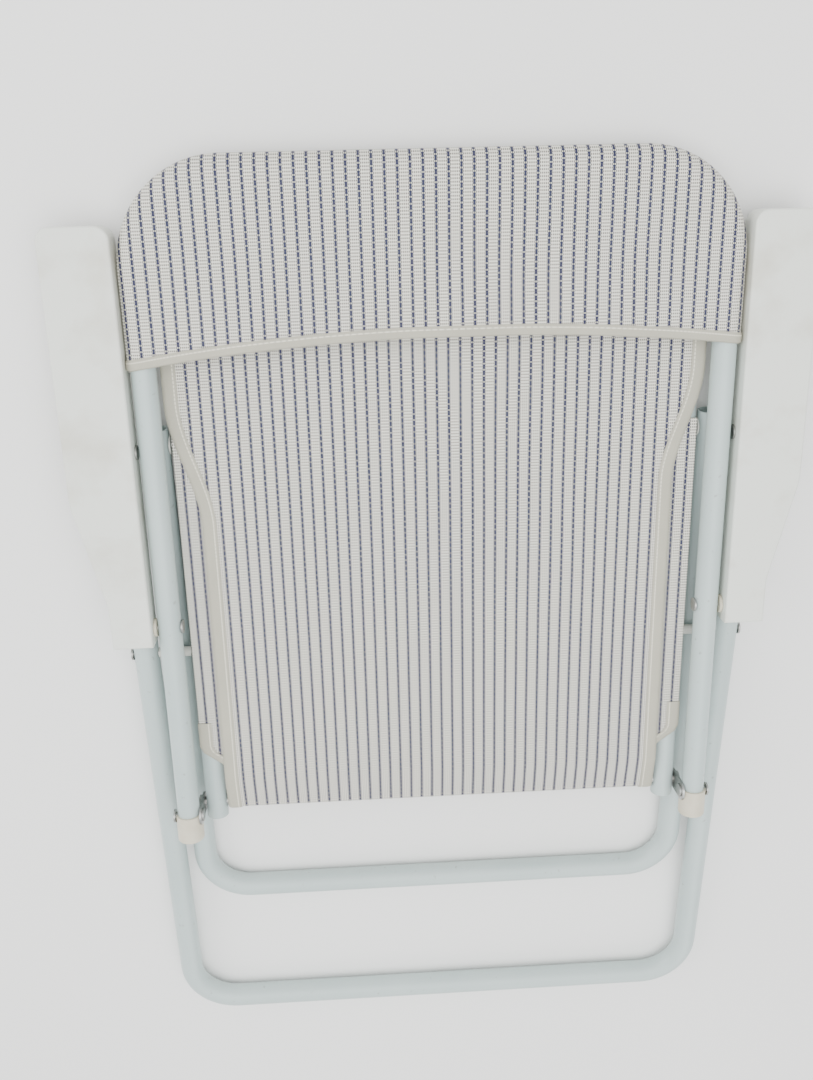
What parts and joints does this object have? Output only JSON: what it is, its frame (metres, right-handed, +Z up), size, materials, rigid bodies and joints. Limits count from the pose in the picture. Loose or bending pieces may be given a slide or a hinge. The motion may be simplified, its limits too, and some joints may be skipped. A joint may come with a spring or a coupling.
{
  "type": "folding deck chair",
  "caption": "Folding garden chair with a steel tube frame, woven sling seat and back and moulded arms, folded flat.",
  "frame": {"origin": "on the ground under the middle of the folded chair's box", "axes": "+Z up from the ground out of the back of the folded chair, +Y towards the head, +X to the sitter's right"},
  "size_m": [0.606, 0.855, 0.0794],
  "materials": {
    "frame_paint": "satin powder coat",
    "arm_plastic": "moulded, fine grain",
    "shoe_plastic": "moulded, aged cream",
    "spacer_plastic": "moulded",
    "zinc_steel": "zinc plated",
    "sling_cloth": "woven coated mesh with blue stitches"
  },
  "bodies": {
    "seat": {"seat_frame": "frame_paint", "hinge_rod": "zinc_steel", "seat_sling": "sling_cloth", "push_nut_left": "zinc_steel", "front_leg_rivet_left": "zinc_steel", "leg_spacer_left": "spacer_plastic", "rear_leg_rivet_left": "zinc_steel", "rear_leg_washer_left": "spacer_plastic", "push_nut_right": "zinc_steel", "front_leg_rivet_right": "zinc_steel", "leg_spacer_right": "spacer_plastic", "rear_leg_rivet_right": "zinc_steel", "rear_leg_washer_right": "spacer_plastic"},
    "backrest": {"backrest_frame": "frame_paint", "back_sling": "sling_cloth", "hinge_plate_left": "zinc_steel", "end_shoe_left": "shoe_plastic", "shoe_rivet_left": "zinc_steel", "arm_rivet_left": "zinc_steel", "arm_bush_left": "shoe_plastic", "hinge_plate_right": "zinc_steel", "end_shoe_right": "shoe_plastic", "shoe_rivet_right": "zinc_steel", "arm_rivet_right": "zinc_steel", "arm_bush_right": "shoe_plastic"},
    "front_leg": {"front_leg_frame": "frame_paint"},
    "rear_leg": {"rear_leg_frame": "frame_paint"},
    "armrest_left": {"armrest_left": "arm_plastic", "arm_pin_left": "zinc_steel"},
    "armrest_right": {"armrest_right": "arm_plastic", "arm_pin_right": "zinc_steel"}
  },
  "joints": [
    {"name": "backrest_fold", "type": "hinge", "parent": "seat", "child": "backrest", "pos_m": [0, -0.14247, 0.04335], "axis": [1, 0, 0], "range_deg": [0, 100]},
    {"name": "front_leg_fold", "type": "hinge", "parent": "seat", "child": "front_leg", "pos_m": [0, 0.0112, 0.03191], "axis": [1, 0, 0], "range_deg": [0, 100]},
    {"name": "rear_leg_fold", "type": "hinge", "parent": "seat", "child": "rear_leg", "pos_m": [0, 0.19928, 0.0179], "axis": [1, 0, 0], "range_deg": [0, 38]},
    {"name": "arm_left_fold", "type": "hinge", "parent": "backrest", "child": "armrest_left", "pos_m": [0, 0.04618, 0.05187], "axis": [1, 0, 0], "range_deg": [-100, 0]},
    {"name": "arm_right_fold", "type": "hinge", "parent": "backrest", "child": "armrest_right", "pos_m": [0, 0.04618, 0.05187], "axis": [1, 0, 0], "range_deg": [-100, 0]}
  ],
  "couplings": [
    {"joint": "front_leg_fold", "follows": "backrest_fold", "ratio": 1},
    {"joint": "rear_leg_fold", "follows": "backrest_fold", "ratio": 0.38},
    {"joint": "arm_left_fold", "follows": "backrest_fold", "ratio": -1},
    {"joint": "arm_right_fold", "follows": "backrest_fold", "ratio": -1}
  ]
}
